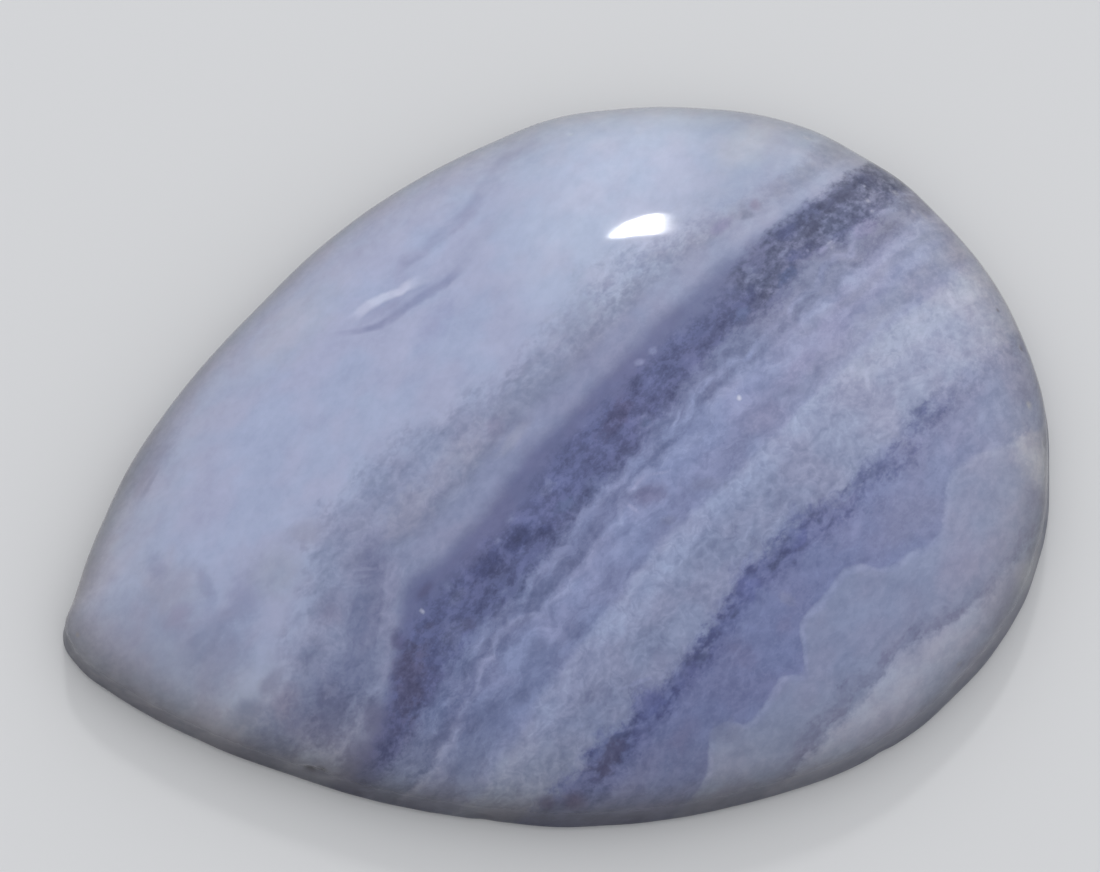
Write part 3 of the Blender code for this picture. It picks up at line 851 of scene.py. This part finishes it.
def froth_pattern(t, p):
    """A soft froth of light and dark, with pale grains."""
    froth = t.noise(p.flat, FROTH_SIZE, 3.0, 0.80)
    grains = t.smooth(t.math("ABSOLUTE", t.minus(froth, 0.55)), 0.0, 0.05, FROTH_GRAIN, -0.02)
    return t.add(t.swing(froth, FROTH_DEPTH), grains)


def grained(t, p, colour, ring_share, lace_share, froth_share):
    """The colour with its fine texture, which fades to the right, and is coarse on the ground wall."""
    calmer = t.add(1.0, t.times(p.to_right, -CALMED))
    rings = ring_pattern(t, p)
    lace = lace_pattern(t, p)
    froth = froth_pattern(t, p)
    cloud = t.swing(t.noise(p.flat, CLOUD_SIZE, 2.0, 0.55), CLOUD_DEPTH)
    cloud_share = t.math("MULTIPLY_ADD", froth_share, 0.35, 0.04)
    grain = t.math("MULTIPLY_ADD", cloud, cloud_share, t.swing(p.fine, FINE_DEPTH))
    lively = t.add(t.times(rings, ring_share), t.times(lace, lace_share))
    grain = t.math("MULTIPLY_ADD", froth, froth_share, grain)
    ground_share = t.smooth(p.height, 1.3, 2.6, 1.0, 0.0)
    grain = t.math("MULTIPLY_ADD", t.swing(p.clumps, GROUND_DEPTH), ground_share, grain)
    shade = t.math("MAXIMUM", t.math("MULTIPLY_ADD", lively, calmer, grain), DARKEST_SHADE)
    tones = t.vector("MULTIPLY", t.joined(shade, shade, shade), SHADE_TONES)
    colour = t.vector("MULTIPLY", colour, t.vector("ADD", tones, (1.0, 1.0, 1.0)))
    hue = t.smooth(p.broad, 0.35, 0.65)
    colour = t.vector("MULTIPLY", colour, t.mix(hue, WARM_HUE, COOL_HUE))
    return t.vector("MULTIPLY", colour, BLUE_LIFT)


def skinned_and_shaded(t, p, colour):
    """The colour with the greyer, darker layer round the girdle and on the back, with painted shade that is
    deepest on the side away from the light, and a painted highlight on that side's shoulder.
    """
    level = t.add(p.height, t.swing(p.rag, 0.35))
    shaded_side = t.smooth(t.dot(p.place, SHADED_SIDE), *SHADED_SIDE_SPAN)
    right_side = t.smooth(t.dot(p.place, RIGHT_SIDE), *RIGHT_SIDE_SPAN)
    skin_and_shade = t.mix(right_side, t.ramp(level, SKIN_AND_SHADE_LIT, HEIGHT), t.ramp(level, SKIN_AND_SHADE_RIGHT, HEIGHT))
    skin_and_shade = t.mix(shaded_side, skin_and_shade, t.ramp(level, SKIN_SHADE_AND_SHEEN_AWAY, HEIGHT))
    stained_side = t.smooth(t.dot(p.place, STAINED_SIDE), *STAINED_SIDE_SPAN)
    stained = t.times(stained_side, t.smooth(level, 2.0, 3.5, 1.0, 0.0))
    skin_and_shade = t.vector("MULTIPLY", skin_and_shade, t.mix(stained, (1.0, 1.0, 1.0, 1.0), (*STAIN, 1.0)))
    skin_and_shade = t.mix(t.smooth(p.height, 0.02, 0.12, 1.0, 0.0), skin_and_shade, (*BACK_TONE, 1.0))
    return t.vector("MULTIPLY", colour, skin_and_shade)


def new_material(name):
    """A material, and the shader in it."""
    material = bpy.data.materials.new(name)
    material.use_nodes = True
    return material, material.node_tree.nodes["Principled BSDF"]


def stone_material():
    """Banded chalcedony: a polished dome, and a wall and a back that are only ground."""
    material, shader = new_material("blue_chalcedony_polished")
    t = Tree(material.node_tree)
    p = Pattern(t)
    colour, texture = layered(t, p)
    plan = t.joined(p.u, p.v, 1.0)
    ring_share, lace_share, froth_share = t.parts(texture)
    colour = marked(t, p, plan, colour, ring_share, froth_share)
    colour = with_inclusions(t, p, colour)
    colour = grained(t, p, colour, ring_share, lace_share, froth_share)
    # The skin, with painted shade on the side away from the light and a painted highlight on its shoulder
    colour = skinned_and_shaded(t, p, colour)
    level = t.add(p.height, t.swing(p.rag, 0.3))
    roughness = t.smooth(level, 1.3, 2.2, GROUND_ROUGHNESS, POLISHED_ROUGHNESS)
    t.feed(shader.inputs["Base Color"], colour)
    t.feed(shader.inputs["Roughness"], roughness)
    shader.inputs["IOR"].default_value = CHALCEDONY_IOR
    shader.inputs["Subsurface Weight"].default_value = 0.25
    shader.inputs["Subsurface Radius"].default_value = (1.0, 1.0, 1.2)
    shader.inputs["Subsurface Scale"].default_value = DEPTH_OF_LIGHT * MM
    return material


# Camera and floor. The floor lies just below the stone
CAMERA_LENS = 200
CAMERA_SENSOR = 36
CAMERA_AZIMUTH = radians(-16)
CAMERA_ELEVATION = radians(72)
CAMERA_TARGET = Vector((0.65, 1.80, 1.0)) * MM
CAMERA_DISTANCE = 241.8 * MM
FLOOR_SIZE = 3.0
FLOOR_DROP = 0.02 * MM
FLOOR_COLOUR = (0.72, 0.72, 0.73, 1.0)


def camera_back():
    """The direction from the stone to the camera."""
    flat = cos(CAMERA_ELEVATION)
    return Vector((sin(CAMERA_AZIMUTH) * flat, -cos(CAMERA_AZIMUTH) * flat, sin(CAMERA_ELEVATION)))


def add_camera():
    data = bpy.data.cameras.new("camera")
    data.lens = CAMERA_LENS
    data.sensor_width = CAMERA_SENSOR
    data.clip_start = 0.01
    data.clip_end = 20
    camera = bpy.data.objects.new("camera", data)
    camera.location = CAMERA_TARGET + camera_back() * CAMERA_DISTANCE
    camera.rotation_euler = camera_back().to_track_quat("Z", "Y").to_euler()
    bpy.context.scene.collection.objects.link(camera)
    bpy.context.scene.camera = camera


def add_polygon(name, corners, material):
    mesh = bpy.data.meshes.new(name)
    mesh.from_pydata(corners, [], [tuple(range(len(corners)))])
    mesh.materials.append(material)
    polygon = bpy.data.objects.new(name, mesh)
    bpy.context.scene.collection.objects.link(polygon)
    return polygon


def add_floor():
    half = FLOOR_SIZE / 2
    corners = [(-half, -half, 0), (half, -half, 0), (half, half, 0), (-half, half, 0)]
    material, shader = new_material("pale_floor")
    shader.inputs["Base Color"].default_value = FLOOR_COLOUR
    shader.inputs["Roughness"].default_value = 0.9
    shader.inputs["Specular IOR Level"].default_value = 0.1
    floor = add_polygon("floor", corners, material)
    floor.location.z = -FLOOR_DROP


# Where the softbox's corners lie, as directions from the stone, and how far off and how bright it is
PANEL_CORNERS = [
    (0.1630, 0.7062, 0.6890),
    (0.1765, 0.7290, 0.6614),
    (0.1934, 0.7470, 0.6360),
    (0.2290, 0.7525, 0.6175),
    (0.2620, 0.7470, 0.6110),
    (0.2520, 0.7050, 0.6630),
    (0.2433, 0.6900, 0.6815),
]
PANEL_DISTANCE = 1.0
PANEL_GLOW = 60.0

# The studio's light: least on the side away from the bright one, with a little more from the front
STUDIO_TINT = (0.97, 0.985, 1.0, 1.0)
STUDIO_LEAST = 0.42
BRIGHT_SIDE = (0.56, 0.62, 0.55)
BRIGHT_GLOW = 0.62
FRONT_SIDE = (-0.10, -0.88, 0.46)
FRONT_GLOW = 0.12


def add_softbox():
    """The small bright softbox whose reflection is the one sharp highlight on the dome."""
    corners = [Vector(corner).normalized() for corner in PANEL_CORNERS]
    middle = sum(corners, Vector()).normalized()
    flat = [corner * (PANEL_DISTANCE / corner.dot(middle)) for corner in corners]
    material, shader = new_material("softbox_glow")
    shader.inputs["Base Color"].default_value = (0.0, 0.0, 0.0, 1.0)
    shader.inputs["Emission Color"].default_value = (1.0, 1.0, 1.0, 1.0)
    shader.inputs["Emission Strength"].default_value = PANEL_GLOW
    panel = add_polygon("softbox", flat, material)


def add_world():
    """Even studio light, softly brighter on one side and from the front."""
    world = bpy.data.worlds.new("studio")
    world.use_nodes = True
    t = Tree(world.node_tree)
    direction = t.node("ShaderNodeTexCoord").outputs["Generated"]
    facing = t.dot(direction, tuple(Vector(BRIGHT_SIDE).normalized()))
    front = t.dot(direction, tuple(Vector(FRONT_SIDE).normalized()))
    even = t.smooth(facing, -0.6, 1.0, STUDIO_LEAST, STUDIO_LEAST + BRIGHT_GLOW)
    glow = t.add(even, t.smooth(front, 0.1, 1.0, 0.0, FRONT_GLOW))
    background = world.node_tree.nodes["Background"]
    background.inputs["Color"].default_value = STUDIO_TINT
    t.feed(background.inputs["Strength"], glow)
    bpy.context.scene.world = world


def main():
    scene = bpy.context.scene
    scene.view_settings.view_transform = "Standard"
    add_camera()
    add_floor()
    add_world()
    add_softbox()
    stone = bpy.data.objects.new("cabochon_polished", stone_mesh())
    scene.collection.objects.link(stone)
    stone.data.materials.append(stone_material())
    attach(stone, "root")
    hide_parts("cabochon")


main()
